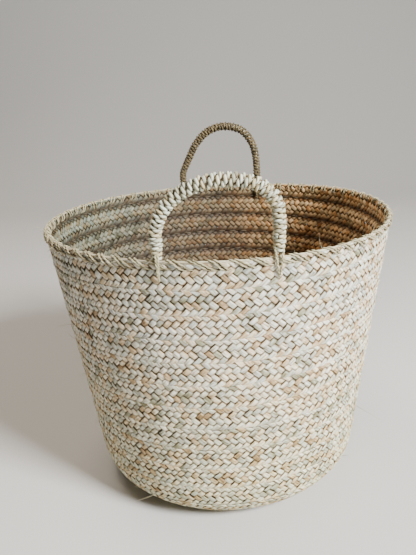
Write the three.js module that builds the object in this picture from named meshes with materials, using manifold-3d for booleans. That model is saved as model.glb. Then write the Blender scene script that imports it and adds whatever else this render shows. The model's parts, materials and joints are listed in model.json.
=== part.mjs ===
// Seagrass storage basket: one flat plait sewn edge to edge in a spiral, an overcast rim and two
// rope handles that swing on cord loops. Millimetres, +Z up, origin under the middle of the base.
import * as THREE from 'three';
import { mergeVertices } from 'three/addons/utils/BufferGeometryUtils.js';
import Module from 'manifold-3d';

const wasm = await Module();
wasm.setup();

// Basket shape
const RIM_RADIUS = 200;        // outside of the wall at the rim
const BASKET_HEIGHT = 325;     // top of the rim
const BASE_RADIUS = 158;       // where the wall's slope would meet the ground
const HEEL_RADIUS = 52;        // round turn from the base into the wall

// Plait and its sewing
const PLAIT_THICKNESS = 4;
const PLAIT_PITCH = 26.8;      // from one seam to the next
const PLAIT_GAP = 0.4;         // between two rounds, at their edges
const PLAIT_BEVEL = 3;         // edge that slopes down into the seam
const FRONT_SEAM_DEPTH = 30;   // highest seam below the rim, at the front
const CENTRE_HOLE = 0.9;       // radius left open in the middle of the base
const NARROWEST_END = 4;       // width at which a tapered end of the plait stops
const SEAM_CORD_WIDTH = 3.2;
const SEAM_CORD_RISE = 0.5;    // how far the sewing stands proud of the plait, inside
const ROUND_STEPS = 32;

// Rim
const RIM_CORE_RADIUS = 2.2;
const LASHING_THICKNESS = 1.5;
const LASHING_DEPTH = 12;      // how far down the overcast edge reaches
const CLEARANCE = 0.3;         // between pieces that touch

// Handles
const LEG_SPACING = 110;
const HINGE_RISE = 8;          // swing axis above the rim
const HANDLE_LEAN = THREE.MathUtils.degToRad(8);
const FRONT_ARCH_HEIGHT = 64;  // above the swing axis, middle of the rope
const BACK_ARCH_HEIGHT = 76;
const BACK_TURN = THREE.MathUtils.degToRad(177.4);
const CORE_RADIUS = 3.2;
const WRAP_THICKNESS = 2.9;
const WRAP_CLEARANCE = 0.5;    // between the rope and the winding on it
const NECK_LENGTH = 6;         // bare core between the eye and the wrapping
const EYE_CORD_RADIUS = 2;
const EYE_HEIGHT = 10;
const EYE_SIDE_CLEARANCE = 0.8;
const LOOP_CORD_RADIUS = 1.8;
const LOOP_HOLE_CLEARANCE = 0.8;
const LOOP_EYE_CLEARANCE = 0.5; // between the cord loop and the eye's bar
const LOOP_HOLE_DEPTH = 20;    // hole for the cord loop, below the rim

const COLOURS = {
  plait: 0xb9ad8a, seam: 0x6f5c3c, rim: 0xc8bc98, lashing: 0xd2c8a6,
  core: 0xa58f63, wrap: 0xcfcaae, loop: 0xb8a67c,
};

// The wall's profile is a flat base, a round heel and a straight slope.
const halfThickness = PLAIT_THICKNESS / 2;
const wallSlope = Math.atan2(BASKET_HEIGHT, RIM_RADIUS - BASE_RADIUS);
const flatLength = BASE_RADIUS - HEEL_RADIUS * Math.tan(wallSlope / 2);
const heelCentreRadius = HEEL_RADIUS - halfThickness;
const heelLength = heelCentreRadius * wallSlope;
const heelTop = halfThickness + heelCentreRadius * (1 - Math.cos(wallSlope));
const rimLength = flatLength + heelLength + (BASKET_HEIGHT - heelTop) / Math.sin(wallSlope);
const plaitTop = rimLength - LASHING_THICKNESS - 2 * RIM_CORE_RADIUS - 2 * CLEARANCE;
const plaitStart = CENTRE_HOLE;
const seamTurns = (rimLength - FRONT_SEAM_DEPTH / Math.sin(wallSlope)) / PLAIT_PITCH;
const startAngle = -Math.PI / 2 - 2 * Math.PI * seamTurns;
const stepAngle = 2 * Math.PI / ROUND_STEPS;

// A point at a length along the profile, a distance outward from its middle line, at an angle.
function shellPoint(length, outward, angle) {
  const bend = THREE.MathUtils.clamp((length - flatLength) / heelCentreRadius, 0, wallSlope);
  const beyond = Math.max(length - flatLength - heelLength, 0);
  const radius = Math.min(length, flatLength) + (heelCentreRadius + outward) * Math.sin(bend)
    + beyond * Math.cos(wallSlope);
  const height = halfThickness + heelCentreRadius - (heelCentreRadius + outward) * Math.cos(bend)
    + (bend === wallSlope ? beyond * Math.sin(wallSlope) : 0);
  return new THREE.Vector3(radius * Math.cos(angle), radius * Math.sin(angle), height);
}

// A closed body through a row of equal rings of points, capped at both ends or joined in a loop.
function loft(rings, joined) {
  const size = rings[0].length;
  const positions = rings.flat().flatMap((point) => point.toArray());
  const index = [];
  const spans = joined ? rings.length : rings.length - 1;
  for (let ring = 0; ring < spans; ring += 1) {
    const next = (ring + 1) % rings.length;
    for (let side = 0; side < size; side += 1) {
      const other = (side + 1) % size;
      const a = ring * size + side;
      const b = ring * size + other;
      const c = next * size + other;
      const d = next * size + side;
      index.push(a, b, c, a, c, d);
    }
  }
  if (!joined) {
    const last = (rings.length - 1) * size;
    for (let side = 1; side < size - 1; side += 1) {
      index.push(0, side + 1, side);
      index.push(last, last + side, last + side + 1);
    }
  }
  const geometry = new THREE.BufferGeometry();
  geometry.setAttribute('position', new THREE.Float32BufferAttribute(positions, 3));
  geometry.setIndex(index);
  return geometry;
}

function toManifold(geometry) {
  const bare = geometry.clone();
  bare.deleteAttribute('normal');
  bare.deleteAttribute('uv');
  const merged = mergeVertices(bare, 1e-4);
  return new wasm.Manifold(new wasm.Mesh({
    numProp: 3,
    vertProperties: merged.attributes.position.array,
    triVerts: new Uint32Array(merged.index.array),
  }));
}

function fromManifold(solid) {
  const mesh = solid.getMesh();
  const geometry = new THREE.BufferGeometry();
  geometry.setAttribute('position', new THREE.BufferAttribute(mesh.vertProperties, 3));
  geometry.setIndex(new THREE.BufferAttribute(mesh.triVerts, 1));
  return geometry;
}

function namedMesh(name, geometry, colour) {
  const material = new THREE.MeshStandardMaterial({ color: colour, roughness: 0.9, metalness: 0 });
  const mesh = new THREE.Mesh(geometry, material);
  mesh.name = name;
  return mesh;
}

// The plait's section where its outer edge has gone this far round the spiral: a flat strip
// whose two edges slope into the seams, cut off level at the rim and narrow at the centre.
function plaitSection(turn) {
  const outerEdge = PLAIT_PITCH * turn / (2 * Math.PI);
  const low = Math.max(outerEdge - PLAIT_PITCH + PLAIT_GAP, plaitStart);
  const high = Math.min(outerEdge, plaitTop);
  const bevel = Math.min(PLAIT_BEVEL, (high - low) * 0.4);
  const angle = startAngle + turn;
  return [
    shellPoint(low, 0, angle),
    shellPoint(low + bevel, -halfThickness, angle),
    shellPoint(high - bevel, -halfThickness, angle),
    shellPoint(high, 0, angle),
    shellPoint(high - bevel, halfThickness, angle),
    shellPoint(low + bevel, halfThickness, angle),
  ];
}

// Turns from one end to the other: both ends, and every even step between them.
function turnsBetween(first, last) {
  const turns = [first];
  for (let step = Math.ceil(first / stepAngle + 0.01); step * stepAngle < last - 0.01; step += 1) {
    turns.push(step * stepAngle);
  }
  turns.push(last);
  return turns;
}

// Every length of plait ends at an even step, so that it keeps the same facets as the rim.
const turnAtLength = (length) => Math.floor(ROUND_STEPS * length / PLAIT_PITCH) * stepAngle;
const firstTurn = turnAtLength(plaitStart + NARROWEST_END);
const baseTurn = turnAtLength(flatLength);
const heelTurn = turnAtLength(flatLength + heelLength + PLAIT_PITCH);
const lastTurn = turnAtLength(plaitTop - NARROWEST_END + PLAIT_PITCH - PLAIT_GAP);

function plait(first, last) {
  return loft(turnsBetween(first, last).map(plaitSection), false);
}

// A splice leaves a gap between the end of one length of plait and the next.
const spliceAfter = (turn) => turn + 2 * CLEARANCE / flatLength;

// The sewing lies in the groove between two rounds, on the inside of the basket.
function seamCord(first, last) {
  const rings = turnsBetween(first, last).map((turn) => {
    const seam = PLAIT_PITCH * turn / (2 * Math.PI) + PLAIT_GAP / 2;
    const angle = startAngle + turn;
    return [
      shellPoint(seam, -halfThickness * 0.45, angle),
      shellPoint(seam - SEAM_CORD_WIDTH / 2, -halfThickness - SEAM_CORD_RISE, angle),
      shellPoint(seam + SEAM_CORD_WIDTH / 2, -halfThickness - SEAM_CORD_RISE, angle),
    ];
  });
  return loft(rings, false);
}

// A ring that follows the rim, from a section of [length below the rim, outward] pairs.
function rimRing(section) {
  const rings = [];
  for (let step = 0; step < ROUND_STEPS; step += 1) {
    const angle = startAngle + step * stepAngle;
    rings.push(section.map(([below, outward]) => shellPoint(rimLength - below, outward, angle)));
  }
  return loft(rings, true);
}

function rimCore() {
  const middle = LASHING_THICKNESS + CLEARANCE + RIM_CORE_RADIUS;
  const section = [];
  for (let side = 0; side < 6; side += 1) {
    const turn = side * Math.PI / 3;
    section.push([middle - RIM_CORE_RADIUS * Math.cos(turn), RIM_CORE_RADIUS * Math.sin(turn)]);
  }
  return rimRing(section);
}

// The overcast edge is a saddle over the rim core and the top of the plait.
function rimLashing() {
  const inner = Math.max(halfThickness, RIM_CORE_RADIUS) + CLEARANCE;
  const outer = inner + LASHING_THICKNESS;
  const shoulder = LASHING_THICKNESS + 1.2;
  const side = (sign) => [
    [0, sign * (outer - LASHING_THICKNESS * 1.5)], [LASHING_THICKNESS * 1.5, sign * outer],
    [LASHING_DEPTH, sign * outer], [LASHING_DEPTH, sign * inner],
    [shoulder, sign * inner], [LASHING_THICKNESS, sign * (inner - 1.2)],
  ];
  return rimRing([...side(1), ...side(-1).reverse()]);
}

// Each handle stands in a frame of its own: X along the swing axis, Y outward, Z up.
const legHalf = LEG_SPACING / 2;
const rimMiddle = RIM_RADIUS - halfThickness;
const stepSag = rimMiddle * (1 - Math.cos(stepAngle / 2));
const hingeOut = Math.sqrt(rimMiddle ** 2 - legHalf ** 2) - stepSag / 2;
const legAngleCos = hingeOut / rimMiddle;

function handleFrame(turn) {
  const frame = new THREE.Group();
  frame.rotation.z = Math.PI + turn;
  frame.position.set(hingeOut * Math.sin(turn), -hingeOut * Math.cos(turn), BASKET_HEIGHT + HINGE_RISE);
  frame.updateMatrixWorld();
  return frame;
}

// Wall of the basket seen along the swing axis: how far out it is at a height under the rim.
const wallOut = (height) => Math.min(height + HINGE_RISE, 0) / Math.tan(wallSlope);

// Depth of a cord loop's hole under the rim: the usual one, or just past a seam that runs there.
function holeDepthAt(angle) {
  const apart = LOOP_CORD_RADIUS + LOOP_HOLE_CLEARANCE + CLEARANCE + SEAM_CORD_WIDTH / 2;
  const usual = rimLength - LOOP_HOLE_DEPTH / Math.sin(wallSlope);
  const turn = THREE.MathUtils.euclideanModulo(angle - startAngle, 2 * Math.PI);
  const firstSeam = PLAIT_PITCH * turn / (2 * Math.PI) + PLAIT_GAP / 2;
  const seam = firstSeam + PLAIT_PITCH * Math.round((usual - firstSeam) / PLAIT_PITCH);
  const past = usual < seam ? -apart : apart;
  const hole = Math.abs(usual - seam) < apart ? seam + past : usual;
  return (rimLength - hole) * Math.sin(wallSlope);
}

// The cord loop hangs over the eye's bar, passes the rim on both sides and goes through the wall.
function loopCurve(x, holeDepth) {
  const lashedHalf = Math.max(halfThickness, RIM_CORE_RADIUS) + CLEARANCE + LASHING_THICKNESS;
  const rimHalf = (lashedHalf + LOOP_CORD_RADIUS) / legAngleCos + stepSag / 2 + 2 * CLEARANCE;
  const wallHalf = halfThickness + SEAM_CORD_RISE + CLEARANCE + LOOP_CORD_RADIUS + stepSag / 2;
  const apex = EYE_CORD_RADIUS + LOOP_EYE_CLEARANCE + LOOP_CORD_RADIUS;
  const holeHeight = -HINGE_RISE - holeDepth;
  const outside = [
    [apex * 0.8, apex * 0.6], [apex + 0.4, -1.5], [rimHalf, -HINGE_RISE],
    [rimHalf, -HINGE_RISE - LASHING_DEPTH], [wallHalf + 1, holeHeight + 3.5],
    [wallHalf * 0.7, holeHeight + 0.5],
  ];
  const points = [[0, apex], ...outside, [0, holeHeight]];
  for (const [out, height] of outside.slice().reverse()) {
    points.push([-out, height]);
  }
  const path = points.map(([out, height]) => new THREE.Vector3(x, wallOut(height) + out, height));
  return new THREE.CatmullRomCurve3(path, true, 'centripetal');
}

const loopSolid = (curve, radius, sides) => new THREE.TubeGeometry(curve, 26, radius, sides, true);

// The ropes' middle lines, from -1 at the left leg to 1 at the right one and from 0 to 1 in height:
// each has a long slope on the left and a steep leg on the right.
const frontShape = [
  [-1, 0], [-1, 0.16], [-0.9, 0.44], [-0.64, 0.76], [-0.2, 0.965], [0.24, 1], [0.66, 0.9],
  [0.93, 0.64], [1, 0.3], [1, 0],
];
const backShape = [
  [-1, 0], [-0.94, 0.14], [-0.82, 0.34], [-0.62, 0.64], [-0.33, 0.89], [0.02, 1], [0.36, 0.99],
  [0.66, 0.88], [0.88, 0.64], [0.98, 0.34], [1, 0],
];

function archCurve({ shape, archHeight, right }) {
  const rise = archHeight - EYE_HEIGHT;
  const path = shape.map(([x, z]) => new THREE.Vector3(x * legHalf * right, 0, EYE_HEIGHT + z * rise));
  return new THREE.CatmullRomCurve3(path, false, 'centripetal');
}

function circleShape(radius, sides) {
  const points = [];
  for (let side = 0; side < sides; side += 1) {
    const turn = 2 * Math.PI * side / sides;
    points.push(new THREE.Vector2(radius * Math.cos(turn), radius * Math.sin(turn)));
  }
  return points;
}

// A stretch of the rope's middle line, as a curve of its own.
class Stretch extends THREE.Curve {
  constructor(whole, first, last) {
    super();
    this.whole = whole;
    this.first = first;
    this.last = last;
  }

  getPoint(t, target = new THREE.Vector3()) {
    return target.copy(this.whole.getPointAt(this.first + t * (this.last - this.first)));
  }
}

// An eye of cord under each leg: its lowest bar is the axis that the handle swings on.
function eyeSolid(x) {
  const half = LOOP_CORD_RADIUS + EYE_CORD_RADIUS + EYE_SIDE_CLEARANCE;
  const corner = half * 0.6;
  const path = [
    [-corner, 0], [corner, 0], [half, EYE_HEIGHT * 0.28], [half * 0.92, EYE_HEIGHT * 0.7],
    [0, EYE_HEIGHT], [-half * 0.92, EYE_HEIGHT * 0.7], [-half, EYE_HEIGHT * 0.28],
  ].map(([along, height]) => new THREE.Vector3(x + along, 0, height));
  const curve = new THREE.CatmullRomCurve3(path, true, 'centripetal');
  return toManifold(new THREE.TubeGeometry(curve, 20, EYE_CORD_RADIUS, 6, true));
}

function handleCore(arch) {
  const rope = new THREE.ExtrudeGeometry(new THREE.Shape(circleShape(CORE_RADIUS, 8)), {
    steps: 26, bevelEnabled: false, extrudePath: arch,
  });
  return fromManifold(toManifold(rope).add(eyeSolid(-legHalf)).add(eyeSolid(legHalf)));
}

function handleWrap(arch) {
  const neck = NECK_LENGTH / arch.getLength();
  const inner = CORE_RADIUS + WRAP_CLEARANCE;
  const section = new THREE.Shape(circleShape(inner + WRAP_THICKNESS, 10));
  section.holes.push(new THREE.Path(circleShape(inner, 8)));
  return new THREE.ExtrudeGeometry(section, {
    steps: 26, bevelEnabled: false, extrudePath: new Stretch(arch, neck, 1 - neck),
  });
}

// Which way each frame's X has the right side of the basket, seen from the front.
const handles = [
  { name: 'front', turn: 0, archHeight: FRONT_ARCH_HEIGHT, shape: frontShape, right: -1 },
  { name: 'back', turn: BACK_TURN, archHeight: BACK_ARCH_HEIGHT, shape: backShape, right: 1 },
];

const basket = new THREE.Group();
let loopHoles = null;

for (const handle of handles) {
  const frame = handleFrame(handle.turn);
  for (const side of [-1, 1]) {
    const label = `${handle.name}_${side === handle.right ? 'right' : 'left'}`;
    const foot = frame.localToWorld(new THREE.Vector3(side * legHalf, 0, 0));
    const curve = loopCurve(side * legHalf, holeDepthAt(Math.atan2(foot.y, foot.x)));
    frame.add(namedMesh(`${label}_cord_loop`, loopSolid(curve, LOOP_CORD_RADIUS, 6), COLOURS.loop));
    const hole = loopSolid(curve, LOOP_CORD_RADIUS + LOOP_HOLE_CLEARANCE, 8);
    hole.applyMatrix4(frame.matrixWorld);
    loopHoles = loopHoles ? loopHoles.add(toManifold(hole)) : toManifold(hole);
  }
  const arch = archCurve(handle);
  const swing = new THREE.Group();
  swing.rotation.x = -HANDLE_LEAN;
  swing.add(namedMesh(`${handle.name}_handle_core`, handleCore(arch), COLOURS.core));
  swing.add(namedMesh(`${handle.name}_handle_wrap`, handleWrap(arch), COLOURS.wrap));
  frame.add(swing);
  basket.add(frame);
}

const wall = toManifold(plait(spliceAfter(heelTurn), lastTurn)).subtract(loopHoles);
basket.add(namedMesh('base_plait', plait(firstTurn, baseTurn), COLOURS.plait));
basket.add(namedMesh('heel_plait', plait(spliceAfter(baseTurn), heelTurn), COLOURS.plait));
basket.add(namedMesh('wall_plait', fromManifold(wall), COLOURS.plait));
basket.add(namedMesh('base_seam_cord', seamCord(firstTurn + Math.PI, baseTurn), COLOURS.seam));
const lastSeamTurn = turnAtLength(rimLength - LASHING_DEPTH - SEAM_CORD_WIDTH);
basket.add(namedMesh('wall_seam_cord', seamCord(spliceAfter(baseTurn), lastSeamTurn), COLOURS.seam));
basket.add(namedMesh('rim_core', rimCore(), COLOURS.rim));
basket.add(namedMesh('rim_lashing', rimLashing(), COLOURS.lashing));

export default basket;
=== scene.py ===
import json
import math

import bpy
import numpy as np
from mathutils import Matrix, Vector


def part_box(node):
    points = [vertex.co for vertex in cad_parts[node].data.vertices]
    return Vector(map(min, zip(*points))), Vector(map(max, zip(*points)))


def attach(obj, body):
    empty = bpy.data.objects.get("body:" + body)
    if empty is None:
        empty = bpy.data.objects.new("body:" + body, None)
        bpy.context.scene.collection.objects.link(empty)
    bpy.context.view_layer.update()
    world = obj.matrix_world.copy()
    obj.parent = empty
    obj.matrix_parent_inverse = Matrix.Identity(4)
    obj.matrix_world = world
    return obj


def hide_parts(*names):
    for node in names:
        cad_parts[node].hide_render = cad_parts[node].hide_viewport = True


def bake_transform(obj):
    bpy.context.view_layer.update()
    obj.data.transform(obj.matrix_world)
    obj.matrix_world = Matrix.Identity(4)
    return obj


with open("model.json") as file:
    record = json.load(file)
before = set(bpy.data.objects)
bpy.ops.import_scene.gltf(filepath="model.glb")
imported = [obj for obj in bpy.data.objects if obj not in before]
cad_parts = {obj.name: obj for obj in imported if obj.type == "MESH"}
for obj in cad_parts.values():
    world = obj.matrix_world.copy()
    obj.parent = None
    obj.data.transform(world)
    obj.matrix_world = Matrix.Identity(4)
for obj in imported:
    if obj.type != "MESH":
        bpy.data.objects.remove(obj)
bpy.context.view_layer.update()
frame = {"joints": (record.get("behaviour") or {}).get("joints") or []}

# ---------------------------------------------------------------------------------------------
# The plait. A flat braid of eight seagrass ribbons, each passing over two and under two, is laid
# edge to edge in a spiral from the middle of the base, round the heel and up the wall.

MM = 0.001
FULL_TURN = 2 * math.pi
RIM_RADIUS = 200 * MM
BASE_RADIUS = 158 * MM
HEEL_RADIUS = 52 * MM
PLAIT_THICKNESS = 4 * MM
PLAIT_PITCH = 26.8 * MM
FRONT_SEAM_DEPTH = 30 * MM
BASKET_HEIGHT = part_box("rim_lashing")[1][2]
PLAIT_TOP_DEPTH = 1.5 * MM         # where the plait's top edge ends under the rim's stitches
CENTRE_RADIUS = 0.3 * MM

half_thickness = PLAIT_THICKNESS / 2
wall_slope = math.atan2(BASKET_HEIGHT, RIM_RADIUS - BASE_RADIUS)
flat_length = BASE_RADIUS - HEEL_RADIUS * math.tan(wall_slope / 2)
heel_centre_radius = HEEL_RADIUS - half_thickness
heel_length = heel_centre_radius * wall_slope
heel_top = half_thickness + heel_centre_radius * (1 - math.cos(wall_slope))
rim_length = flat_length + heel_length + (BASKET_HEIGHT - heel_top) / math.sin(wall_slope)
seam_turns = (rim_length - FRONT_SEAM_DEPTH / math.sin(wall_slope)) / PLAIT_PITCH
start_angle = -math.pi / 2 - FULL_TURN * seam_turns


def softened(points):
    """The wall's small hand-made unevenness: the radius and height are scaled by a few slow waves
    round the basket, which fade to nothing at the base."""
    angle = np.arctan2(points[..., 1], points[..., 0])
    rise = np.clip(points[..., 2] / BASKET_HEIGHT, 0, 1.3)
    wave = (0.0060 * np.cos(2 * angle + 0.4) + 0.0035 * np.sin(3 * angle + 1.1)
            + 0.0022 * np.cos(5 * angle - 0.7 + 3 * rise))
    lift = 0.0045 * np.cos(2 * angle - 0.9) + 0.003 * np.sin(3 * angle + 0.5)
    out = points.copy()
    out[..., 0] *= 1 + wave * rise
    out[..., 1] *= 1 + wave * rise * 0.4
    out[..., 2] *= 1 + lift * rise * rise
    return out


def shell_points(length, outward, angle):
    """A point of the basket's shell: a flat base, a round heel and a straight sloping wall. length
    runs along that profile from the centre, outward is the distance from its middle surface."""
    bend = np.clip((length - flat_length) / heel_centre_radius, 0, wall_slope)
    beyond = np.maximum(length - flat_length - heel_length, 0)
    radius = (np.minimum(length, flat_length) + (heel_centre_radius + outward) * np.sin(bend)
              + beyond * math.cos(wall_slope))
    height = (half_thickness + heel_centre_radius - (heel_centre_radius + outward) * np.cos(bend)
              + beyond * math.sin(wall_slope))
    return np.stack([radius * np.cos(angle), radius * np.sin(angle), height], -1)


def tube_mesh(name, points, joined=False, **attributes):
    """A mesh of closed tubes from an array of points: tube, ring along it, point round it. Rings
    are joined by quads that face outward, and each end has a cap unless the tube is joined into a
    loop. The attributes are values of the mesh at each point."""
    tubes, rings, sides = points.shape[:3]
    index = np.arange(tubes * rings * sides).reshape(tubes, rings, sides)
    here = index if joined else index[:, :-1]
    there = np.roll(index, -1, 1) if joined else index[:, 1:]
    quads = np.stack([here, there, np.roll(there, -1, 2), np.roll(here, -1, 2)], -1).reshape(-1, 4)
    loops = [quads.ravel()]
    sizes = [np.full(len(quads), 4)]
    if not joined:
        loops += [index[:, 0].ravel(), index[:, -1, ::-1].ravel()]
        sizes += [np.full(2 * tubes, sides)]
    loops = np.concatenate(loops)
    sizes = np.concatenate(sizes)
    mesh = bpy.data.meshes.new(name)
    mesh.vertices.add(index.size)
    mesh.vertices.foreach_set("co", points.astype(np.float32).ravel())
    mesh.loops.add(len(loops))
    mesh.loops.foreach_set("vertex_index", loops.astype(np.int32))
    mesh.polygons.add(len(sizes))
    starts = np.concatenate([[0], np.cumsum(sizes)[:-1]])
    mesh.polygons.foreach_set("loop_start", starts.astype(np.int32))
    mesh.polygons.foreach_set("use_smooth", np.ones(len(sizes), bool))
    for label, values in attributes.items():
        kind = "FLOAT_VECTOR" if values.ndim == 4 else "FLOAT"
        layer = mesh.attributes.new(label, kind, "POINT")
        layer.data.foreach_set("vector" if values.ndim == 4 else "value",
                               values.astype(np.float32).ravel())
    mesh.update(calc_edges=True)
    mesh.validate()
    piece = bpy.data.objects.new(name, mesh)
    bpy.context.scene.collection.objects.link(piece)
    return piece


FLOAT_STEP = 4.05 * MM             # half the spacing of ribbons along the braid
BRAID_ROWS = 8                     # rows of crossings from one edge of the braid to the other
STRANDS = 8
RIBBON_HALF_THICKNESS = 0.70 * MM
RIBBON_LIFT = 1.10 * MM            # from the middle of the braid to the middle of a float
RIBBON_SIDES = 8
SIDE_POWER = 0.62                  # below one, these square the section's sides and its top
TOP_POWER = 0.48
FLOAT_FLATNESS = 1.42              # how much of each height wave is cut off flat
RIBBON_SIZE = 0.94                 # least width, as a share of the room between two ribbons
STOUT_SHARE = 0.93                 # ribbons drawn above this are broader than the rest
BLADE_STEPS = 37                   # a new blade of grass is spliced in after this many rows
FOLD_JITTER = 1.8 * MM             # spread of the folds across the edge
SQUEEZE = 1.0 * MM                 # the last stretch before the rim or the centre
EDGE_LAP = 1.3 * MM                # how far one round's edge tucks behind the next
LOW_EDGE_DROP = 0.60 * MM          # a round's lower edge lies in, its upper edge out
LOW_EDGE_WIDTH = 3.4 * MM
HIGH_EDGE_RISE = 0.55 * MM
HIGH_EDGE_WIDTH = 2.6 * MM
WALL_HOLLOW = 0.9 * MM             # rounds of the heel and wall are hollow along their middle
WALL_SHIFT = 0.45 * MM
BASE_LIFT = 1.3 * MM               # keeps the base's lowest floats off the floor
BASE_LIFT_FADE = 12 * MM
LOW_SEAM_SHADE = 5.6 * MM          # widths of the dark bands beside a seam
HIGH_SEAM_SHADE = 4.4 * MM

base_lift_end = flat_length + 0.35 * heel_length
row_edges = np.linspace(-EDGE_LAP, PLAIT_PITCH + EDGE_LAP, BRAID_ROWS + 1)

# Arc length along the middle of the braid against the angle turned.
turn_table = np.linspace(0, FULL_TURN * (rim_length / PLAIT_PITCH + 1.2), 6000)
middle_length = PLAIT_PITCH * (turn_table / FULL_TURN - 0.5)
middle_radius = np.hypot(*shell_points(middle_length, 0, 0 * middle_length)[:, :2].T)
middle_radius = np.maximum(middle_radius, 5 * MM)
run_table = np.concatenate([[0], np.cumsum(
    np.diff(turn_table) * (middle_radius[1:] + middle_radius[:-1]) / 2)])


def hashed(*keys):
    """An even random number from 0 to 1 for each set of whole numbers: the fraction of a large
    multiple of the sine of their weighted sum."""
    factors = (12.9898, 78.233, 37.719)
    total = sum(np.asarray(key, float) * factor for key, factor in zip(keys, factors))
    return np.modf(np.abs(np.sin(total) * 43758.5453))[0]


def kept_inside(length):
    """Lengths past the rim or the centre are squeezed into the last stretch before it by an
    exponential that starts with a slope of one."""
    top = rim_length - PLAIT_TOP_DEPTH
    over = np.maximum(length - top + SQUEEZE, 0)
    length = np.where(over > 0, top - SQUEEZE * np.exp(-over / SQUEEZE), length)
    under = np.maximum(CENTRE_RADIUS + SQUEEZE - length, 0)
    return np.where(under > 0, CENTRE_RADIUS + SQUEEZE * np.exp(-under / SQUEEZE), length)


def bell(distance, width):
    """One at no distance, falling as the exponential of minus the squared distance in widths."""
    return np.exp(-(distance / width) ** 2)


def braid(name, first_turn, last_turn):
    """A stretch of braid. Each ribbon zigzags from edge to edge as a triangle wave, and each of its
    runs from one fold to the next is a tube. Its height is a clipped cosine of the row it crosses,
    so it lies over two and under two, and passes through the middle at the folds. Its section is
    a flat ellipse of a power below one, whose width runs along the ribbons that it crosses and
    turns along the braid at the folds."""
    first, last = np.round(np.interp([first_turn, last_turn], turn_table, run_table) / FLOAT_STEP)
    crossing, strand = np.meshgrid(
        np.arange(first // BRAID_ROWS, (last + 2 * STRANDS) // BRAID_ROWS + 1),
        np.arange(STRANDS), indexing="ij")
    start = BRAID_ROWS * crossing - 2 * strand
    here = (start >= first) & (start < last)
    crossing, strand, start = (values[here][:, None, None] for values in (crossing, strand, start))
    rising = crossing % 2 == 0
    part = np.linspace(0, BRAID_ROWS, 2 * BRAID_ROWS + 1)[None, :, None]
    steps = start + part
    phase = BRAID_ROWS * crossing + part
    row = np.where(rising, part, BRAID_ROWS - part)
    from_fold = np.clip(np.minimum(part, BRAID_ROWS - part), 0, 1)
    lie = np.cos(math.pi * (np.clip(row, 1, BRAID_ROWS - 1) - 1.5) / 2)
    over = np.sin(math.pi / 2 * np.clip(FLOAT_FLATNESS * lie, -1, 1)) * from_fold
    over = np.where(rising, over, -over)

    # Each float and each blade has its own size, sway, thickness and tint.
    one_float = np.floor((part - np.where(rising, 0.5, 1.5)) / 2) + BRAID_ROWS * crossing / 2
    blade = np.floor((phase + 5 * strand) / BLADE_STEPS)
    stout = hashed(one_float, strand, 7)
    size = (RIBBON_SIZE + 0.10 * hashed(blade, strand, 3) + 0.12 * stout
            + 0.22 * (stout > STOUT_SHARE) * np.abs(over))
    sway = (0.14 * np.sin(phase * 0.37 + 11 * hashed(strand, 5, 2))
            + 0.22 * (hashed(one_float, strand, 1) - 0.5))
    puff = 0.66 + 0.60 * hashed(one_float, strand, 9) * np.abs(over)

    around = np.arange(RIBBON_SIDES) * FULL_TURN / RIBBON_SIDES + math.pi / RIBBON_SIDES
    side = (np.sign(np.cos(around)) * np.abs(np.cos(around)) ** SIDE_POWER)[None, None]
    top = (np.sign(np.sin(around)) * np.abs(np.sin(around)) ** TOP_POWER)[None, None]
    width = size * side
    slant = 0.5 * from_fold * np.where(rising, -1, 1)
    run = (steps + sway * from_fold + (1 - 0.5 * from_fold) * width) * FLOAT_STEP
    run = np.clip(run, 0, run_table[-1])
    turn = np.interp(run, run_table, turn_table)
    across = np.interp(row + slant * width, np.arange(BRAID_ROWS + 1), row_edges)
    across = across + FOLD_JITTER * (hashed(one_float, strand, 17) - 0.5) * (1 - from_fold)
    length = kept_inside(PLAIT_PITCH * (turn / FULL_TURN - 1) + across)

    arched = np.sin(math.pi * np.clip(across / PLAIT_PITCH, 0, 1))
    tilt = (hashed(one_float, strand, 13) - 0.5) * side * over
    outward = (RIBBON_LIFT * (0.70 + 0.50 * arched) * over
               + RIBBON_HALF_THICKNESS * (puff * top + tilt)
               - LOW_EDGE_DROP * bell(across, LOW_EDGE_WIDTH)
               + HIGH_EDGE_RISE * bell(PLAIT_PITCH - across, HIGH_EDGE_WIDTH))
    outward = outward - (WALL_HOLLOW * arched - WALL_SHIFT) * (length > flat_length)
    outward = outward - BASE_LIFT * np.clip((base_lift_end - length) / BASE_LIFT_FADE, 0, 1)
    points = softened(shell_points(length, outward, start_angle + turn))

    full = np.ones_like(run)
    along = steps * FLOAT_STEP * 1.3 / MM * full
    fibre = np.stack([along, 2.6 * width * full, 57 * hashed(one_float, strand, 4) * full], -1)
    tint = 0.25 * hashed(blade, strand, 8) + 0.75 * hashed(one_float, strand, 6)
    # shade: how far a point faces out of the braid. It picks the inside's tone and places painted
    # shade where a ribbon dips to cross.
    facing = over + 0.65 * (1 - from_fold) * np.sign(top)
    shade = 0.5 + 0.5 * facing * (0.45 + 0.55 * np.abs(top))
    # seam: nearness to a seam, which sets the painted shade beside the seams on the inside.
    seam = bell(across - 0.8 * MM, LOW_SEAM_SHADE) + bell(across - PLAIT_PITCH, HIGH_SEAM_SHADE)
    # edge: how near a point lies to a ribbon's side, which sets painted shadow between neighbouring
    # floats.
    attributes = {"fibre": fibre, "tint": (0.52 + 0.95 * (tint - 0.5)) * full,
                  "shade": np.clip(shade * full, 0, 1), "edge": np.abs(side) * full,
                  "seam": np.clip(seam, 0, 1) * full}

    # A falling run is turned the other way, so its points are listed backwards.
    for label, data in attributes.items():
        keep = rising if data.ndim == 3 else rising[..., None]
        attributes[label] = np.where(keep, data, data[:, :, ::-1])
    points = np.where(rising[..., None], points, points[:, :, ::-1])
    return tube_mesh(name, points, **attributes)


def node(tree, kind, **values):
    """A new shader node with some of its settings given."""
    made = tree.nodes.new(kind)
    for label, value in values.items():
        setattr(made, label, value)
    return made


WHITE = (1, 1, 1)
BLACK = (0, 0, 0)


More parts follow.
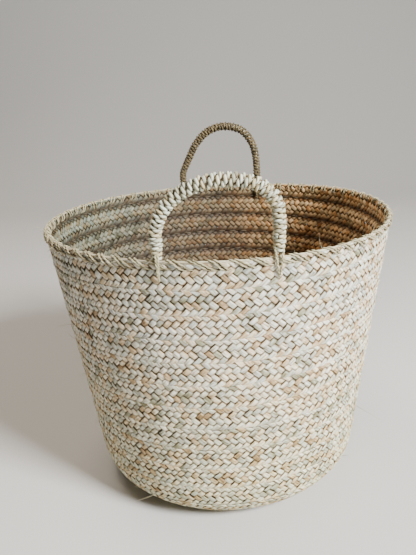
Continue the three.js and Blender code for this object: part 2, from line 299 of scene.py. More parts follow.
def ramp(tree, source, stops):
    """A colour ramp: each stop is a place from 0 to 1 and a linear colour."""
    made = node(tree, "ShaderNodeValToRGB")
    elements = made.color_ramp.elements
    while len(elements) < len(stops):
        elements.new(0.5)
    for element, (place, colour) in zip(elements, stops):
        element.position = place
        element.color = (*colour, 1)
    tree.links.new(source, made.inputs[0])
    return made.outputs[0]


def mixed(tree, mode, amount, first, second):
    """One colour laid over another; amount, first and second are sockets or plain values."""
    made = node(tree, "ShaderNodeMix", data_type="RGBA", blend_type=mode, clamp_factor=True)
    for socket, value in ((0, amount), (6, first), (7, second)):
        if hasattr(value, "links"):
            tree.links.new(value, made.inputs[socket])
        elif socket == 0:
            made.inputs[0].default_value = value
        else:
            made.inputs[socket].default_value = (*value, 1)
    return made.outputs[2]


def noise(tree, vector, scale, detail, roughness=0.5):
    """Noise that is stretched by a scale of its own along each axis of a vector."""
    stretched = node(tree, "ShaderNodeVectorMath", operation="MULTIPLY")
    stretched.inputs[1].default_value = scale
    tree.links.new(vector, stretched.inputs[0])
    made = node(tree, "ShaderNodeTexNoise")
    made.inputs["Scale"].default_value = 1.0
    made.inputs["Detail"].default_value = detail
    made.inputs["Roughness"].default_value = roughness
    tree.links.new(stretched.outputs[0], made.inputs["Vector"])
    return made.outputs["Fac"]


def shifted(tree, source, amount, base):
    """base plus amount times a noise that has been centred on zero."""
    centred = node(tree, "ShaderNodeMath", operation="SUBTRACT")
    centred.inputs[1].default_value = 0.5
    tree.links.new(source, centred.inputs[0])
    made = node(tree, "ShaderNodeMath", operation="MULTIPLY_ADD")
    made.inputs[1].default_value = amount
    tree.links.new(centred.outputs[0], made.inputs[0])
    tree.links.new(base, made.inputs[2])
    return made.outputs[0]


def carried(tree, label, output="Fac"):
    """A value that the mesh carries at each of its points."""
    return node(tree, "ShaderNodeAttribute", attribute_name=label).outputs[output]


def ranged(tree, value, low, high):
    """A value moved and scaled so that low becomes zero and high becomes one, and kept between."""
    made = node(tree, "ShaderNodeMapRange")
    made.inputs["From Min"].default_value = low
    made.inputs["From Max"].default_value = high
    tree.links.new(value, made.inputs["Value"])
    return made.outputs["Result"]


INNER_POINT = (0, 0, 0.15)         # faces that look towards it are inside the basket
FACING_RANGE = 0.2
# Colours of painted shade: beside the inside's seams, where ribbons dip to cross, along ribbon edges
# and where cords lie against each other.
INNER_SEAM_SHADE = (0.22, 0.17, 0.13)
CREASE_SHADE_BROWN = (0.25, 0.20, 0.13)
EDGE_SHADOW_BROWN = (0.50, 0.38, 0.25)
CORD_SHADOW = (0.20, 0.13, 0.07)
BUMP_HEIGHT = 0.35 * MM


def facing_inward(tree):
    """White where the dot product of a face's direction and the direction from a point inside the
    basket is below zero, so that the face looks towards the point, and black elsewhere."""
    here = node(tree, "ShaderNodeTexCoord")
    away = node(tree, "ShaderNodeVectorMath", operation="SUBTRACT")
    away.inputs[1].default_value = INNER_POINT
    tree.links.new(here.outputs["Object"], away.inputs[0])
    turned = node(tree, "ShaderNodeVectorMath", operation="DOT_PRODUCT")
    tree.links.new(away.outputs[0], turned.inputs[0])
    tree.links.new(here.outputs["Normal"], turned.inputs[1])
    scaled = ranged(tree, turned.outputs["Value"], -FACING_RANGE, FACING_RANGE)
    return ramp(tree, scaled, [(0.30, WHITE), (0.44, BLACK)])


def plait_tones(tree, colour, place, shade, inside_tone_and_painted_light_stops):
    """The plait's colours are multiplied by tones. The outside's goes by height. The inside's holds
    its own tan with painted light and shade that run from the basket's left side to its right, and
    painted shade low down and at the seams. Ribbons get a brown painted shade where they dip to
    cross and a painted shadow along their edges."""
    apart = node(tree, "ShaderNodeSeparateXYZ")
    tree.links.new(place, apart.inputs[0])
    level = ranged(tree, apart.outputs["Z"], 0, BASKET_HEIGHT)
    outer_tone = ramp(tree, level, [(0.0, (0.95, 0.96, 0.80)), (0.4, (1.0, 0.98, 0.88)),
                                    (0.75, (1.0, 0.985, 0.985)), (1.0, (0.86, 0.87, 0.87))])
    colour = mixed(tree, "MULTIPLY", 1.0, colour, outer_tone)

    # The inside's own tan with painted light and shade from its left side to its right: grey-green
    # on the left, darker in the middle, brighter than white on the right.
    inside_tone_and_painted_light = ramp(tree, ranged(tree, apart.outputs["X"], -RIM_RADIUS, RIM_RADIUS), inside_tone_and_painted_light_stops)
    # Painted shade: the inside darkens further down, where less light falls in.
    painted_low_shade = ramp(tree, level, [(0.3, (0.42, 0.38, 0.34)), (0.82, (0.74, 0.70, 0.66)), (0.95, WHITE)])
    inside_tone_and_painted_light = mixed(tree, "MULTIPLY", 1.0, inside_tone_and_painted_light, painted_low_shade)
    # Painted shade beside the seams on the inside.
    inside_tone_and_painted_light = mixed(tree, "MULTIPLY", carried(tree, "seam"), inside_tone_and_painted_light, INNER_SEAM_SHADE)
    inside = ramp(tree, shade, [(0.40, WHITE), (0.56, BLACK)])
    inside = mixed(tree, "LIGHTEN", 1.0, inside, facing_inward(tree))
    colour = mixed(tree, "MULTIPLY", inside, colour, inside_tone_and_painted_light)

    # Painted shade where ribbons dip to cross under their neighbours.
    painted_crease_shade = ramp(tree, shade, [(0.16, BLACK), (0.40, WHITE), (0.60, WHITE), (0.84, BLACK)])
    colour = mixed(tree, "MULTIPLY", painted_crease_shade, colour, CREASE_SHADE_BROWN)
    # Painted shadow along the ribbons' edges, between neighbouring floats.
    painted_edge_shadow = ramp(tree, carried(tree, "edge"), [(0.80, BLACK), (0.94, WHITE)])
    return mixed(tree, "MULTIPLY", painted_edge_shadow, colour, EDGE_SHADOW_BROWN)


def fibre_material(name, stops, inside_tone_and_painted_light_stops=None, streak=0.5, bump=0.85, roughness=0.66):
    """Dry grass. A ribbon's own tint, shifted by blotches and weather, picks a colour from a ramp,
    and two sizes of streak along the fibre darken it. The plait, which alone has
    inside_tone_and_painted_light_stops, is toned for the basket's two faces with painted light and
    shade, and a cord gets painted shadow where it lies against another."""
    material = bpy.data.materials.new(name)
    material.use_nodes = True
    tree = material.node_tree
    shader = tree.nodes["Principled BSDF"]
    shade = carried(tree, "shade")
    fibre = carried(tree, "fibre", "Vector")
    place = node(tree, "ShaderNodeTexCoord").outputs["Object"]
    streaks = noise(tree, fibre, (0.05, 0.85, 1.0), 3, 0.6)
    threads = noise(tree, fibre, (0.10, 2.6, 1.0), 3, 0.6)
    blotches = noise(tree, fibre, (0.16, 0.25, 1.0), 2)
    weather = noise(tree, place, (13, 13, 26), 2)

    moved = shifted(tree, blotches, 0.55, carried(tree, "tint"))
    moved = shifted(tree, weather, 0.34, moved)
    colour = ramp(tree, moved, stops)
    coarse = ramp(tree, streaks, [(0.38, (0.30, 0.24, 0.15)), (0.49, (0.80, 0.77, 0.68)),
                                  (0.61, WHITE)])
    fine = ramp(tree, threads, [(0.34, (0.48, 0.40, 0.30)), (0.50, (0.90, 0.88, 0.82)),
                                (0.64, WHITE)])
    colour = mixed(tree, "MULTIPLY", streak, colour, coarse)
    colour = mixed(tree, "MULTIPLY", streak, colour, fine)
    if inside_tone_and_painted_light_stops:
        colour = plait_tones(tree, colour, place, shade, inside_tone_and_painted_light_stops)
    else:
        # Painted shadow where a cord faces what it lies on.
        low = ramp(tree, shade, [(0.20, WHITE), (0.80, BLACK)])
        colour = mixed(tree, "MULTIPLY", low, colour, CORD_SHADOW)
    tree.links.new(colour, shader.inputs["Base Color"])
    shader.inputs["Roughness"].default_value = roughness
    shader.inputs["Specular IOR Level"].default_value = 0.40
    raised = node(tree, "ShaderNodeBump")
    raised.inputs["Strength"].default_value = bump
    raised.inputs["Distance"].default_value = BUMP_HEIGHT
    tree.links.new(streaks, raised.inputs["Height"])
    tree.links.new(raised.outputs[0], shader.inputs["Normal"])
    return material


plait_grass = fibre_material("plaited seagrass", [
    (0.00, (0.28, 0.27, 0.17)), (0.13, (0.46, 0.47, 0.35)), (0.26, (0.64, 0.68, 0.68)),
    (0.39, (0.86, 0.89, 0.80)), (0.54, (1.00, 0.99, 0.93)), (0.68, (0.98, 0.88, 0.70)),
    (0.83, (0.76, 0.59, 0.38)), (1.00, (0.42, 0.29, 0.16)),
# The inside's own tan with painted light and shade; the last stop, brighter than white, is painted
# light.
], inside_tone_and_painted_light_stops=[(0.08, (0.38, 0.42, 0.38)), (0.32, (0.32, 0.27, 0.19)), (0.56, (0.36, 0.26, 0.16)),
                (0.85, (1.50, 1.06, 0.66))], streak=0.8)

BRAID_START = 1.3                  # the turn, in radians, where the spiral starts
BRAID_RUN_OUT = 0.85               # turns that the braid's end runs on past the rim's length

total_turns = rim_length / PLAIT_PITCH + BRAID_RUN_OUT
base_rounds = int(flat_length / PLAIT_PITCH)
heel_rounds = int((flat_length + heel_length) / PLAIT_PITCH) + 1
for done in range(int(math.ceil(total_turns))):
    if done < base_rounds:
        place = "base"
    elif done < heel_rounds:
        place = "heel"
    else:
        place = "wall"
    part = braid(f"{place}_plait_round_{done + 1}", max(FULL_TURN * done, BRAID_START),
                 FULL_TURN * min(done + 1, total_turns))
    part.data.materials.append(plait_grass)
    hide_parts(f"{place}_plait")
    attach(part, "basket")

# ---------------------------------------------------------------------------------------------
# The sewing. Dark twine runs in and out along every seam and draws the rounds together.

STITCH_LENGTH = 17 * MM
TWINE_RADIUS = 0.65 * MM
TWINE_DEPTH = 1.0 * MM             # how far it swings to each side of its own middle
TWINE_INSET = 0.5 * MM             # from the wall's middle in to the twine's
TWINE_SIDES = 5
TWINE_START = 3.0                  # the turn, in radians, where the twine starts
TWINE_TOP_DEPTH = 10 * MM


def unit(vectors):
    """Vectors divided by their lengths."""
    return vectors / np.maximum(np.linalg.norm(vectors, axis=-1, keepdims=True), 1e-12)


def tube_points(path, up, radius, sides, joined=False):
    """Rings round a path: each is a circle across the path's direction, which is found from the
    points on both sides of it. The circle starts level with up."""
    if joined:
        ahead = np.roll(path, -1, -2) - np.roll(path, 1, -2)
    else:
        ahead = np.gradient(path, axis=-2)
    ahead = unit(ahead)
    across = unit(np.cross(ahead, up))
    upward = np.cross(across, ahead)
    around = np.arange(sides) * FULL_TURN / sides
    radius = np.broadcast_to(radius, path.shape[:-1])[..., None, None]
    return path[..., None, :] + radius * (np.cos(around)[:, None] * across[..., None, :]
                                          + np.sin(around)[:, None] * upward[..., None, :])


RINGS_OF_ONE_TINT = 23


def cord_attributes(shape, seed, tints=1.0):
    """Fibre and tint for tubes of one shape: tube, ring, side. The fibre runs along the rings and
    there and back round the sides. The tint changes at random every so many rings."""
    tube, ring, side = np.indices(shape)
    fibre = np.stack([ring * 0.9 + 40 * hashed(tube, seed, 1),
                      np.cos(side * FULL_TURN / shape[2]) * 1.2,
                      57 * hashed(tube, seed, 2)], -1)
    patch = np.floor(ring / RINGS_OF_ONE_TINT)
    tint = np.clip(0.35 + 0.4 * hashed(tube, patch, seed) * tints, 0, 1)
    return {"fibre": fibre, "tint": tint, "shade": np.ones(shape)}


def outward_at(angle):
    """Unit vectors that point out of the sloping wall at an angle round the basket."""
    level = math.sin(wall_slope)
    return np.stack([level * np.cos(angle), level * np.sin(angle),
                     -math.cos(wall_slope) + 0 * angle], -1)


def seam_twine(name, first_turn, last_turn):
    """A running stitch: along the seam, its depth through the wall is a sine of the run."""
    first, last = np.interp([first_turn, last_turn], turn_table, run_table)
    run = np.arange(first, last, STITCH_LENGTH / 8)
    turn = np.interp(run, run_table, turn_table)
    length = PLAIT_PITCH * turn / (FULL_TURN)
    angle = start_angle + turn
    depth = TWINE_DEPTH * np.sin(FULL_TURN * run / STITCH_LENGTH) - TWINE_INSET
    path = softened(shell_points(length, depth, angle))[None]
    rings = tube_points(path, np.array([0.3, 0.2, 1.0]), TWINE_RADIUS, TWINE_SIDES)
    return tube_mesh(name, rings, **cord_attributes(rings.shape[:3], 21, 0.4))


twine_fibre = fibre_material("sewing twine", [
    (0.0, (0.07, 0.05, 0.03)), (0.5, (0.13, 0.10, 0.06)), (1.0, (0.20, 0.15, 0.09)),
])
last_seam = FULL_TURN * (rim_length - TWINE_TOP_DEPTH) / PLAIT_PITCH
for place, first_turn, last_turn in (("base", TWINE_START, FULL_TURN * base_rounds),
                                     ("wall", FULL_TURN * base_rounds, last_seam)):
    twine = seam_twine(f"{place}_seam_twine", first_turn, last_turn)
    twine.data.materials.append(twine_fibre)
    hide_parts(f"{place}_seam_cord")
    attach(twine, "basket")

# ---------------------------------------------------------------------------------------------
# The rim. A rope of loosely laid grass lies on the plait's cut edge, and slim two-ply cord is
# overcast round both, each stitch going over the edge and slanting down to its hole outside.

RIM_ROPE_RADIUS = 0.85 * MM        # of each strand of the rope
RIM_ROPE_DEPTH = 2.2 * MM
RIM_ROPE_STRANDS = 4
RIM_ROPE_TWIST = 34 * MM
RIM_ROPE_RINGS = 720
CORD_SIDES = 6
STITCH_COUNT = 66
STITCH_STEPS = 30
STITCH_SLANT = 1.17                # how far a stitch moves on while it goes down the outside
PAIR_SPACING = 0.27                # between the two strands of a stitch, as a share of a stitch
OVERCAST_DEPTH = 4.6 * MM
OVERCAST_HALF_HEIGHT = 4.5 * MM
OVERCAST_HALF_WIDTH = 3.2 * MM
OVERCAST_PLY_RADIUS = 0.56 * MM
OVERCAST_PLY_OFFSET = 0.46 * MM
OVERCAST_TWIST = 9 * MM
OVERCAST_PHASE = 5                 # radians that a strand's plies start ahead, for each stitch


def wall_points(angle, below, outward):
    """Points of the wall at an angle round it, a way below the rim and out from its middle."""
    return softened(shell_points(rim_length - below, outward, angle))


def plied(path, up, ply_radius, ply_offset, twist, plies=2, joined=False, phase=0.0):
    """Plies twisted round a path: each is offset by a turning vector, one turn for every twist."""
    step = np.linalg.norm(np.diff(path, axis=0), axis=1)
    run = np.concatenate([[0], np.cumsum(step)])
    whole = run[-1] + (np.linalg.norm(path[0] - path[-1]) if joined else 0)
    turns = max(round(whole / twist), 1)
    ahead = np.roll(path, -1, 0) - np.roll(path, 1, 0) if joined else np.gradient(path, axis=0)
    ahead = unit(ahead)
    across = unit(np.cross(ahead, up))
    upward = np.cross(across, ahead)
    tubes = []
    for ply in range(plies):
        turn = FULL_TURN * (turns * run / whole + ply / plies) + phase
        offset = np.broadcast_to(ply_offset, run.shape)[:, None]
        centre = path + offset * (np.cos(turn)[:, None] * across + np.sin(turn)[:, None] * upward)
        tubes.append(tube_points(centre, upward, ply_radius, CORD_SIDES, joined=joined))
    return np.stack(tubes)


rim_steps = np.arange(RIM_ROPE_RINGS) * FULL_TURN / RIM_ROPE_RINGS
rope_path = wall_points(rim_steps, RIM_ROPE_DEPTH, 0 * rim_steps)
rings = plied(rope_path, outward_at(rim_steps), RIM_ROPE_RADIUS, RIM_ROPE_RADIUS, RIM_ROPE_TWIST,
              RIM_ROPE_STRANDS, True)
rim_rope = tube_mesh("rim_core_rope", rings, joined=True, **cord_attributes(rings.shape[:3], 31))
rope_grass = fibre_material("laid grass rope", [
    (0.0, (0.30, 0.25, 0.15)), (0.4, (0.54, 0.48, 0.33)), (0.7, (0.66, 0.59, 0.43)),
    (1.0, (0.48, 0.36, 0.20)),
])
rim_rope.data.materials.append(rope_grass)
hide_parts("rim_core")
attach(rim_rope, "basket")


def overcast_path(shift):
    """One strand's middle line: an upright ellipse round the rim's edge, once for every stitch,
    that moves on more than a stitch while it goes down the outside and a little back inside."""
    part = np.arange(STITCH_COUNT * STITCH_STEPS) / STITCH_STEPS
    stitch = np.floor(part)
    loop = FULL_TURN * (part - stitch)
    slant = np.where(loop < math.pi, STITCH_SLANT * loop / math.pi,
                     STITCH_SLANT + (1 - STITCH_SLANT) * (loop / math.pi - 1))
    uneven = 0.34 * (hashed(stitch, 3, 5) - 0.5) + 0.22 * (hashed(stitch, 8, shift) - 0.5)
    angle = FULL_TURN * (stitch + slant + shift + uneven * np.sin(loop / 2) ** 2) / STITCH_COUNT
    reach = 1 + 0.55 * (hashed(stitch, 9, 2) - 0.5) * (1 - np.cos(loop)) / 2
    below = OVERCAST_DEPTH - OVERCAST_HALF_HEIGHT * np.cos(loop) * reach
    outward = OVERCAST_HALF_WIDTH * np.sin(loop) * (0.92 + 0.25 * hashed(stitch, 6, shift))
    out = wall_points(angle, below, outward)
    away = unit(out - wall_points(angle, OVERCAST_DEPTH + 0 * below, 0 * outward))
    return out, away


def proud_of(rings, path, away, reach):
    """How far each point of a cord's tubes faces away from what the cord lies on: 0 to 1."""
    return np.clip(0.5 + 0.5 * np.sum((rings - path[:, None]) * away[:, None], -1) / reach, 0, 1)


strands = []
proud = []
for shift in (0, PAIR_SPACING):
    path, away = overcast_path(shift)
    cord = plied(path, away, OVERCAST_PLY_RADIUS, OVERCAST_PLY_OFFSET, OVERCAST_TWIST, 2, True,
                 OVERCAST_PHASE * shift)
    strands.append(cord)
    proud.append(proud_of(cord, path, away, OVERCAST_PLY_RADIUS + OVERCAST_PLY_OFFSET))
rings = np.concatenate(strands)
attributes = cord_attributes(rings.shape[:3], 41)
# The overcast cord gets painted shadow on its side that faces the rim.
attributes["shade"] = np.concatenate(proud)
overcast = tube_mesh("rim_overcast_cord", rings, joined=True, **attributes)
rim_cord = fibre_material("two-ply rim cord", [
    (0.0, (0.20, 0.18, 0.10)), (0.35, (0.36, 0.33, 0.20)), (0.65, (0.62, 0.57, 0.38)),
    (1.0, (0.40, 0.29, 0.15)),
])
overcast.data.materials.append(rim_cord)
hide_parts("rim_lashing")
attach(overcast, "basket")

# ---------------------------------------------------------------------------------------------
# The handles. A rope core is bent into an arch and wound closely with thick two-ply cord. The
# winding thins a little towards the rim, where its ends are pieces of their own. The back handle is
# taller, thinner and darker than the front one.

LEG_SPACING = 110 * MM
HINGE_RISE = 8 * MM
HANDLE_LEAN = math.radians(8)
EYE_HEIGHT = 10 * MM
ARCH_HEIGHTS = {"front": 64 * MM, "back": 76 * MM}
STEEP_SIDES = {"front": -1, "back": 1}
CORE_RADIUS = 3.6 * MM
CORE_RINGS = 160
CORE_SIDES = 10
CORE_BOTTOM = 6 * MM               # where the rope's ends are, from the swing axis
WIND_RADIUS = {"front": 4.6 * MM, "back": 4.1 * MM}   # from the rope's middle to the cord's
WIND_PITCH = {"front": 6.2 * MM, "back": 5.6 * MM}    # between two turns on top of the arch
WIND_STARTS = 2                    # cords that are wound side by side
WIND_TWIST = 11 * MM
WIND_STEPS = 36                    # rings of the cord in one turn round the rope
WIND_PLY = 0.25                    # radius of a ply, as a share of the pitch
WIND_PLY_OFFSET = 0.75             # of that radius
WIND_UNEVEN = 0.16
WIND_END_SIZE = 0.76               # the winding's radius at its ends, as a share of the full one
WIND_END_FADE = 12 * MM
LEG_PITCH = 0.72                   # on the legs the turns lie closer and thinner than on top
LEG_THICKNESS = 0.86
SHADOW_HEIGHT = 1.04               # heights between which a cord's shadow fades, as shares of
SHADOW_FADE = 0.40                 # the winding's radius
NECK_BOTTOM = -8.5 * MM            # lowest winding, from the swing axis
NECK_TOP = 9 * MM                  # where the stiff part of the handle starts
ARCH_SHAPES = {
    "front": [[-1, -0.30], [-1, 0], [-1, 0.16], [-0.9, 0.44], [-0.64, 0.76], [-0.2, 0.965],
              [0.24, 1], [0.66, 0.9], [0.93, 0.64], [1, 0.3], [1, 0], [1, -0.30]],
    "back": [[-1, -0.30], [-1, 0], [-0.94, 0.14], [-0.82, 0.34], [-0.62, 0.64], [-0.33, 0.89],
             [0.02, 1], [0.36, 0.99], [0.66, 0.88], [0.88, 0.64], [0.98, 0.34], [1, 0], [1, -0.30]],
}


def curve_through(points, count):
    """A smooth curve through points: cubic pieces whose slopes are those of the neighbours'
    chords (Catmull and Rom), then spaced evenly along its length."""
    padded = np.vstack([2 * points[0] - points[1], points, 2 * points[-1] - points[-2]])
    spans = len(points) - 1
    place = np.linspace(0, spans - 1e-9, 80 * spans)
    span = place.astype(int)
    t = (place - span)[:, None]
    a, b, c, d = (padded[span + shift] for shift in range(4))
    dense = 0.5 * (2 * b + (c - a) * t + (2 * a - 5 * b + 4 * c - d) * t ** 2
                   + (3 * b - a - 3 * c + d) * t ** 3)
    run = np.concatenate([[0], np.cumsum(np.linalg.norm(np.diff(dense, axis=0), axis=1))])
    even = np.linspace(0, run[-1], count)
    curve = [np.interp(even, run, dense[:, axis]) for axis in range(points.shape[1])]
    return np.stack(curve, -1), even


def swing_joint(side):
    """The joint that a handle swings about."""
    return next(joint for joint in frame["joints"] if joint["name"] == f"{side}_handle_swing")


def handle_place(side):
    """The swing axis of a handle from its joint: a matrix whose X runs along the axis, Y outward."""
    joint = swing_joint(side)
    axis = Vector(joint["axis"]).normalized()
    up = Vector((0, 0, 1))
    outward = up.cross(-axis)
    rows = Matrix((-axis, outward, up)).transposed().to_4x4()
    return Matrix.Translation(Vector(joint["pos_m"])) @ rows


def placed(points, matrix):
    """Points moved from a handle's own frame into the basket's."""
    array = np.array(matrix)
    return points @ array[:3, :3].T + array[:3, 3]


def arch_line(side, count):
    """The rope's middle line in the handle's own frame, leaning outward above the swing axis,
    with its length so far and its height at each point."""
    rise = ARCH_HEIGHTS[side] - EYE_HEIGHT
    flat = np.array(ARCH_SHAPES[side]) * [LEG_SPACING / 2 * STEEP_SIDES[side], rise]
    line, run = curve_through(np.column_stack([flat[:, 0], flat[:, 1] + EYE_HEIGHT]), count)
    points = np.column_stack([line[:, 0], line[:, 1] * math.sin(HANDLE_LEAN),
                              line[:, 1] * math.cos(HANDLE_LEAN)])
    return points, run, line[:, 1]


winding_cord = fibre_material("two-ply winding cord", [
    (0.0, (0.30, 0.26, 0.14)), (0.25, (0.50, 0.53, 0.42)), (0.50, (0.72, 0.78, 0.70)),
    (0.75, (0.70, 0.62, 0.40)), (1.0, (0.48, 0.34, 0.17)),
], streak=0.85)
darker_cord = fibre_material("darker winding cord", [
    (0.0, (0.05, 0.04, 0.02)), (0.35, (0.10, 0.08, 0.04)), (0.70, (0.21, 0.16, 0.08)),
    (1.0, (0.08, 0.05, 0.02)),
], streak=0.85)


def winding(side, matrix):
    """The winding's middle lines: helices round the arch, closer on the legs than on top, whose
    radius shrinks towards both ends. The rope's line, the distances from both ends of the
    winding and the radius's share of the full one come with them."""
    line, run, height = arch_line(side, 1400)
    ahead = unit(np.gradient(line, axis=0))
    flatwise = np.array([0, math.cos(HANDLE_LEAN), -math.sin(HANDLE_LEAN)])
    across = np.cross(ahead, flatwise)
    kept = height > NECK_BOTTOM
    first, last = run[kept][0], run[kept][-1]
    on_top = np.clip((height - EYE_HEIGHT) / (ARCH_HEIGHTS[side] - EYE_HEIGHT), 0, 1)
    pitch = WIND_PITCH[side] * (LEG_PITCH + (1 - LEG_PITCH) * on_top)
    coil = np.concatenate([[0], np.cumsum(np.diff(run) / pitch[1:])])
    coil = coil - np.interp(first, run, coil)
    steps = int(np.interp(last, run, coil) / WIND_STARTS * WIND_STEPS)
    wound = np.linspace(0, np.interp(last, run, coil), steps)
    here = np.interp(wound, coil, run)
    here_line = np.stack([np.interp(here, run, line[:, axis]) for axis in range(3)], -1)
    here_across = np.stack([np.interp(here, run, across[:, axis]) for axis in range(3)], -1)
    near_end = np.minimum(here - first, last - here)
    thick = LEG_THICKNESS + (1 - LEG_THICKNESS) * np.interp(here, run, on_top)
    taper = (WIND_END_SIZE + (1 - WIND_END_SIZE) * np.clip(near_end / WIND_END_FADE, 0, 1)) * thick
    lines = []
    for start in range(WIND_STARTS):
        turn = FULL_TURN * (wound + start) / WIND_STARTS
        wrap = np.floor(wound / WIND_STARTS)
        uneven = WIND_UNEVEN * (hashed(wrap, 4 + start, 6) - 0.5) * np.sin(turn / 2) ** 2
        radius = WIND_RADIUS[side] * taper * (1 + uneven)
        path = here_line + radius[:, None] * (np.cos(turn)[:, None] * here_across
                                              + np.sin(turn)[:, None] * flatwise)
        lines.append((placed(path, matrix), unit(path - here_line) @ np.array(matrix)[:3, :3].T))
    return lines, placed(here_line, matrix), here - first, last - here, taper


for side in ("front", "back"):
    matrix = handle_place(side)
    cord = winding_cord if side == "front" else darker_cord
    lines, middle_line, from_start, to_end, taper = winding(side, matrix)
    ply = WIND_PITCH[side] * WIND_PLY
    rings = np.concatenate([plied(path, away, ply * np.sqrt(taper), WIND_PLY_OFFSET * ply * taper,
                                  WIND_TWIST) for path, away in lines])
    # The winding gets painted shadow on its low parts, between its turns.
    height = np.linalg.norm(rings - middle_line[None, :, None], axis=-1)
    proud = (height / (WIND_RADIUS[side] * taper[None, :, None]) - SHADOW_HEIGHT) / SHADOW_FADE
    neck = NECK_TOP - NECK_BOTTOM
    spans = ((f"{side}_handle_winding", (from_start >= neck) & (to_end >= neck)),
             (f"{side}_neck_winding_a", from_start < neck),
             (f"{side}_neck_winding_b", to_end < neck))
    for name, inside in spans:
        shape = rings[:, inside]
        attributes = cord_attributes(shape.shape[:3], 51 + len(name))
        attributes["shade"] = np.clip(proud[:, inside], 0, 1)
        part = tube_mesh(name, shape, **attributes)
        part.data.materials.append(cord)
        if "neck" in name:
            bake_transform(part)
        else:
            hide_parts(f"{side}_handle_wrap")
            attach(part, f"{side}_handle")

    line, _, height = arch_line(side, CORE_RINGS)
    line = placed(line[height > CORE_BOTTOM], matrix)
    up = np.tile(np.array(matrix)[:3, 1], (len(line), 1))
    rings = tube_points(line[None], up[None], CORE_RADIUS, CORE_SIDES)
    core = tube_mesh(f"{side}_handle_core_rope", rings, **cord_attributes(rings.shape[:3], 61))
    core.data.materials.append(rope_grass)
    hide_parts(f"{side}_handle_core")
    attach(core, f"{side}_handle")

# ---------------------------------------------------------------------------------------------
# The cord loops. Under each leg two slim cords spread round the rim and meet in one hole in the
# plait below it, and carry the handle's load into the wall.

LOOP_PLY_RADIUS = 0.62 * MM
LOOP_PLY_OFFSET = 0.55 * MM
LOOP_TWIST = 7 * MM
LOOP_SPREAD = {"left": 1.4 * MM, "right": 3.8 * MM}    # half the room between two cords on top
LOOP_PHASE = 900                   # radians that a cord's plies start ahead, for each metre of it
LOOP_BOTTOM = 28.3 * MM            # from the swing axis down to the hole's lower edge
LOOP_RINGS = 90

# A loop's outline, in millimetres out of the wall and up from the swing axis.
LOOP_OUT = [2.2, 3.2, 5.6, 5.6, 4.6, 2.5, 0, -2.5, -4.6, -5.6, -5.6, -3.2, -2.2, 0]
LOOP_HIGH = [3.5, -1, -8, -16, -23, -27.5, -28.3, -27.5, -23, -16, -8, -1, 3.5, 6]


def loop_path(matrix, x, spread):
    """One closed cord over the leg's end, down both faces of the rim and through the wall. It
    leans with the wall below the rim, and moves sideways in proportion to its height."""
    out = np.array(LOOP_OUT + LOOP_OUT[:1]) * MM
    high = np.array(LOOP_HIGH + LOOP_HIGH[:1]) * MM
    lean = np.minimum(high + HINGE_RISE, 0) / math.tan(wall_slope)
    side_shift = spread * np.clip((high + LOOP_BOTTOM) / LOOP_BOTTOM, 0, 1.1)
    loop, _ = curve_through(np.column_stack([x + side_shift, out + lean, high]), LOOP_RINGS)
    return softened(placed(loop[:-1], matrix))


for side in ("front", "back"):
    matrix = handle_place(side)
    for sign in (-1, 1):
        label = "left" if (sign == 1) == (side == "front") else "right"
        tubes = []
        for spread in (-LOOP_SPREAD[label], LOOP_SPREAD[label]):
            path = loop_path(matrix, sign * LEG_SPACING / 2, spread)
            axis = np.tile(np.array(matrix)[:3, 0], (len(path), 1))
            tubes.append(plied(path, axis, LOOP_PLY_RADIUS, LOOP_PLY_OFFSET, LOOP_TWIST, 2, True,
                               LOOP_PHASE * spread))
        rings = np.concatenate(tubes)
        part = tube_mesh(f"{side}_{label}_loop_cords", rings, joined=True,
                         **cord_attributes(rings.shape[:3], 71 + sign))
        part.data.materials.append(rim_cord if side == "front" else darker_cord)
        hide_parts(f"{side}_{label}_cord_loop")
        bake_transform(part)

# ---------------------------------------------------------------------------------------------
# Stray fibres. Ends of grass that have worked loose stand out of the braid and the rim as thin
# curved hairs that taper to a point.

STRAY_COUNT = 280
STRAY_RINGS = 6
STRAY_RADIUS = 0.26 * MM
STRAY_SIDES = 4
RIM_STRAYS = 0.3                   # share of them that stand at the rim
LONG_STRAYS = 0.20                 # share of them that are three times as long
RIM_REACH = 17 * MM                # longest fibre near the rim, and anywhere else
WALL_REACH = 34 * MM

draw = np.random.default_rng(7)
stray_angle = draw.uniform(0, FULL_TURN, STRAY_COUNT)
stray_below = np.where(draw.random(STRAY_COUNT) < RIM_STRAYS, 3 * MM,
                       draw.uniform(4 * MM, 300 * MM, STRAY_COUNT))
stray_size = draw.gamma(2.0, 3.0, STRAY_COUNT) * MM + 3 * MM
longer = np.where(draw.random(STRAY_COUNT) < LONG_STRAYS, 3.0, 1.0)
stray_size = np.minimum(stray_size * longer, np.where(stray_below < 60 * MM, RIM_REACH, WALL_REACH))
stray_turn = draw.uniform(-1.0, 1.0, (STRAY_COUNT, 3))
stray_curl = draw.uniform(-1.0, 1.0, (STRAY_COUNT, 3))
root = wall_points(stray_angle, stray_below, 1.6 * MM + 0 * stray_angle)
heading = unit(outward_at(stray_angle) * 0.8 + stray_turn * 0.8)
part = np.linspace(0, 1, STRAY_RINGS)[None, :, None]
hair = root[:, None] + stray_size[:, None, None] * (heading[:, None] * part
                                                    + 0.45 * stray_curl[:, None] * part ** 2)
thin = STRAY_RADIUS * (1 - 0.85 * part[..., 0]) + 0 * stray_size[:, None]
askew = outward_at(stray_angle)[:, None] + np.array([0.31, 0.17, 0.23])
rings = tube_points(hair, askew, thin, STRAY_SIDES)
strays = tube_mesh("stray_fibres", rings, **cord_attributes(rings.shape[:3], 91))
strays.data.materials.append(rim_cord)
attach(strays, "basket")

# ---------------------------------------------------------------------------------------------
# The floor, the light and the view.

FLOOR_REACH = 6.0
SWEEP_START = 1.6                  # where the floor starts to curve up behind the basket
SWEEP_RADIUS = 1.5

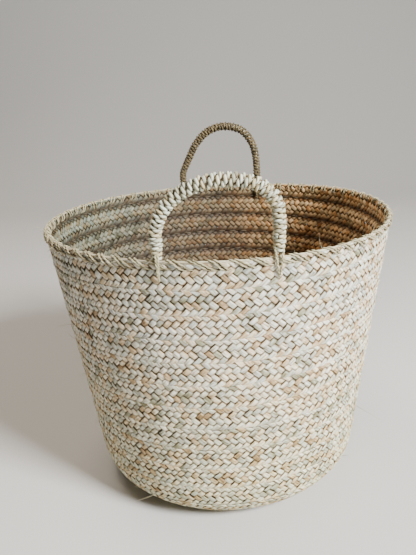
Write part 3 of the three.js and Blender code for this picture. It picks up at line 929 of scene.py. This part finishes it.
# Profile of the floor and the backdrop: level, a quarter circle, then upright.
bend = np.linspace(0, math.pi / 2, 24)
profile_y = np.concatenate([[-FLOOR_REACH], SWEEP_START + SWEEP_RADIUS * np.sin(bend),
                            [SWEEP_START + SWEEP_RADIUS]])
profile_z = np.concatenate([[0], SWEEP_RADIUS * (1 - np.cos(bend)), [FLOOR_REACH]])
edge_points = len(profile_y)
corners = [(x, y, z) for x in (-FLOOR_REACH, FLOOR_REACH) for y, z in zip(profile_y, profile_z)]
faces = [(step, edge_points + step, edge_points + step + 1, step + 1)
         for step in range(edge_points - 1)]
floor_mesh = bpy.data.meshes.new("floor")
floor_mesh.from_pydata(corners, [], faces)
floor_mesh.polygons.foreach_set("use_smooth", np.ones(len(faces), bool))
floor = bpy.data.objects.new("floor", floor_mesh)
bpy.context.scene.collection.objects.link(floor)
floor_paint = bpy.data.materials.new("pale floor")
floor_paint.use_nodes = True
floor_shader = floor_paint.node_tree.nodes["Principled BSDF"]
floor_shader.inputs["Base Color"].default_value = (0.56, 0.54, 0.51, 1)
floor_shader.inputs["Roughness"].default_value = 0.9
floor_mesh.materials.append(floor_paint)

world = bpy.data.worlds.new("studio")
world.use_nodes = True
world.node_tree.nodes["Background"].inputs["Color"].default_value = (1.0, 0.95, 0.90, 1)
world.node_tree.nodes["Background"].inputs["Strength"].default_value = 0.10
bpy.context.scene.world = world


def area_light(name, place, target, size, power, colour):
    """A square light that looks from its place at a target."""
    data = bpy.data.lights.new(name, "AREA")
    data.size = size
    data.energy = power
    data.color = colour
    light = bpy.data.objects.new(name, data)
    light.location = place
    light.rotation_euler = (Vector(target) - Vector(place)).to_track_quat("-Z", "Y").to_euler()
    bpy.context.scene.collection.objects.link(light)


middle_of_basket = (0, 0, BASKET_HEIGHT / 2)
area_light("window", (1.5, -1.4, 1.5), middle_of_basket, 0.6, 208, (0.97, 0.99, 1.0))
area_light("fill", (-0.6, 0.3, 2.3), middle_of_basket, 0.9, 30, (1.0, 0.88, 0.74))
area_light("back", (-1.0, 1.3, 1.6), middle_of_basket, 1.2, 7, (1.0, 0.97, 0.93))

CAMERA_DISTANCE = 0.7066
CAMERA_HEIGHT = 0.4804
CAMERA_YAW = -0.020
CAMERA_PITCH = 0.324
CAMERA_ROLL = -0.058
LENS_MM = 38.9

forward = Vector((math.sin(CAMERA_YAW) * math.cos(CAMERA_PITCH),
                  math.cos(CAMERA_YAW) * math.cos(CAMERA_PITCH), -math.sin(CAMERA_PITCH)))
level = forward.cross(Vector((0, 0, 1))).normalized()
above = level.cross(forward)
right = math.cos(CAMERA_ROLL) * level + math.sin(CAMERA_ROLL) * above
upright = -math.sin(CAMERA_ROLL) * level + math.cos(CAMERA_ROLL) * above
camera_data = bpy.data.cameras.new("camera")
camera_data.lens = LENS_MM
camera = bpy.data.objects.new("camera", camera_data)
camera.matrix_world = (Matrix.Translation(Vector((0, -CAMERA_DISTANCE, CAMERA_HEIGHT)))
                       @ Matrix((right, upright, -forward)).transposed().to_4x4())
bpy.context.scene.collection.objects.link(camera)
bpy.context.scene.camera = camera
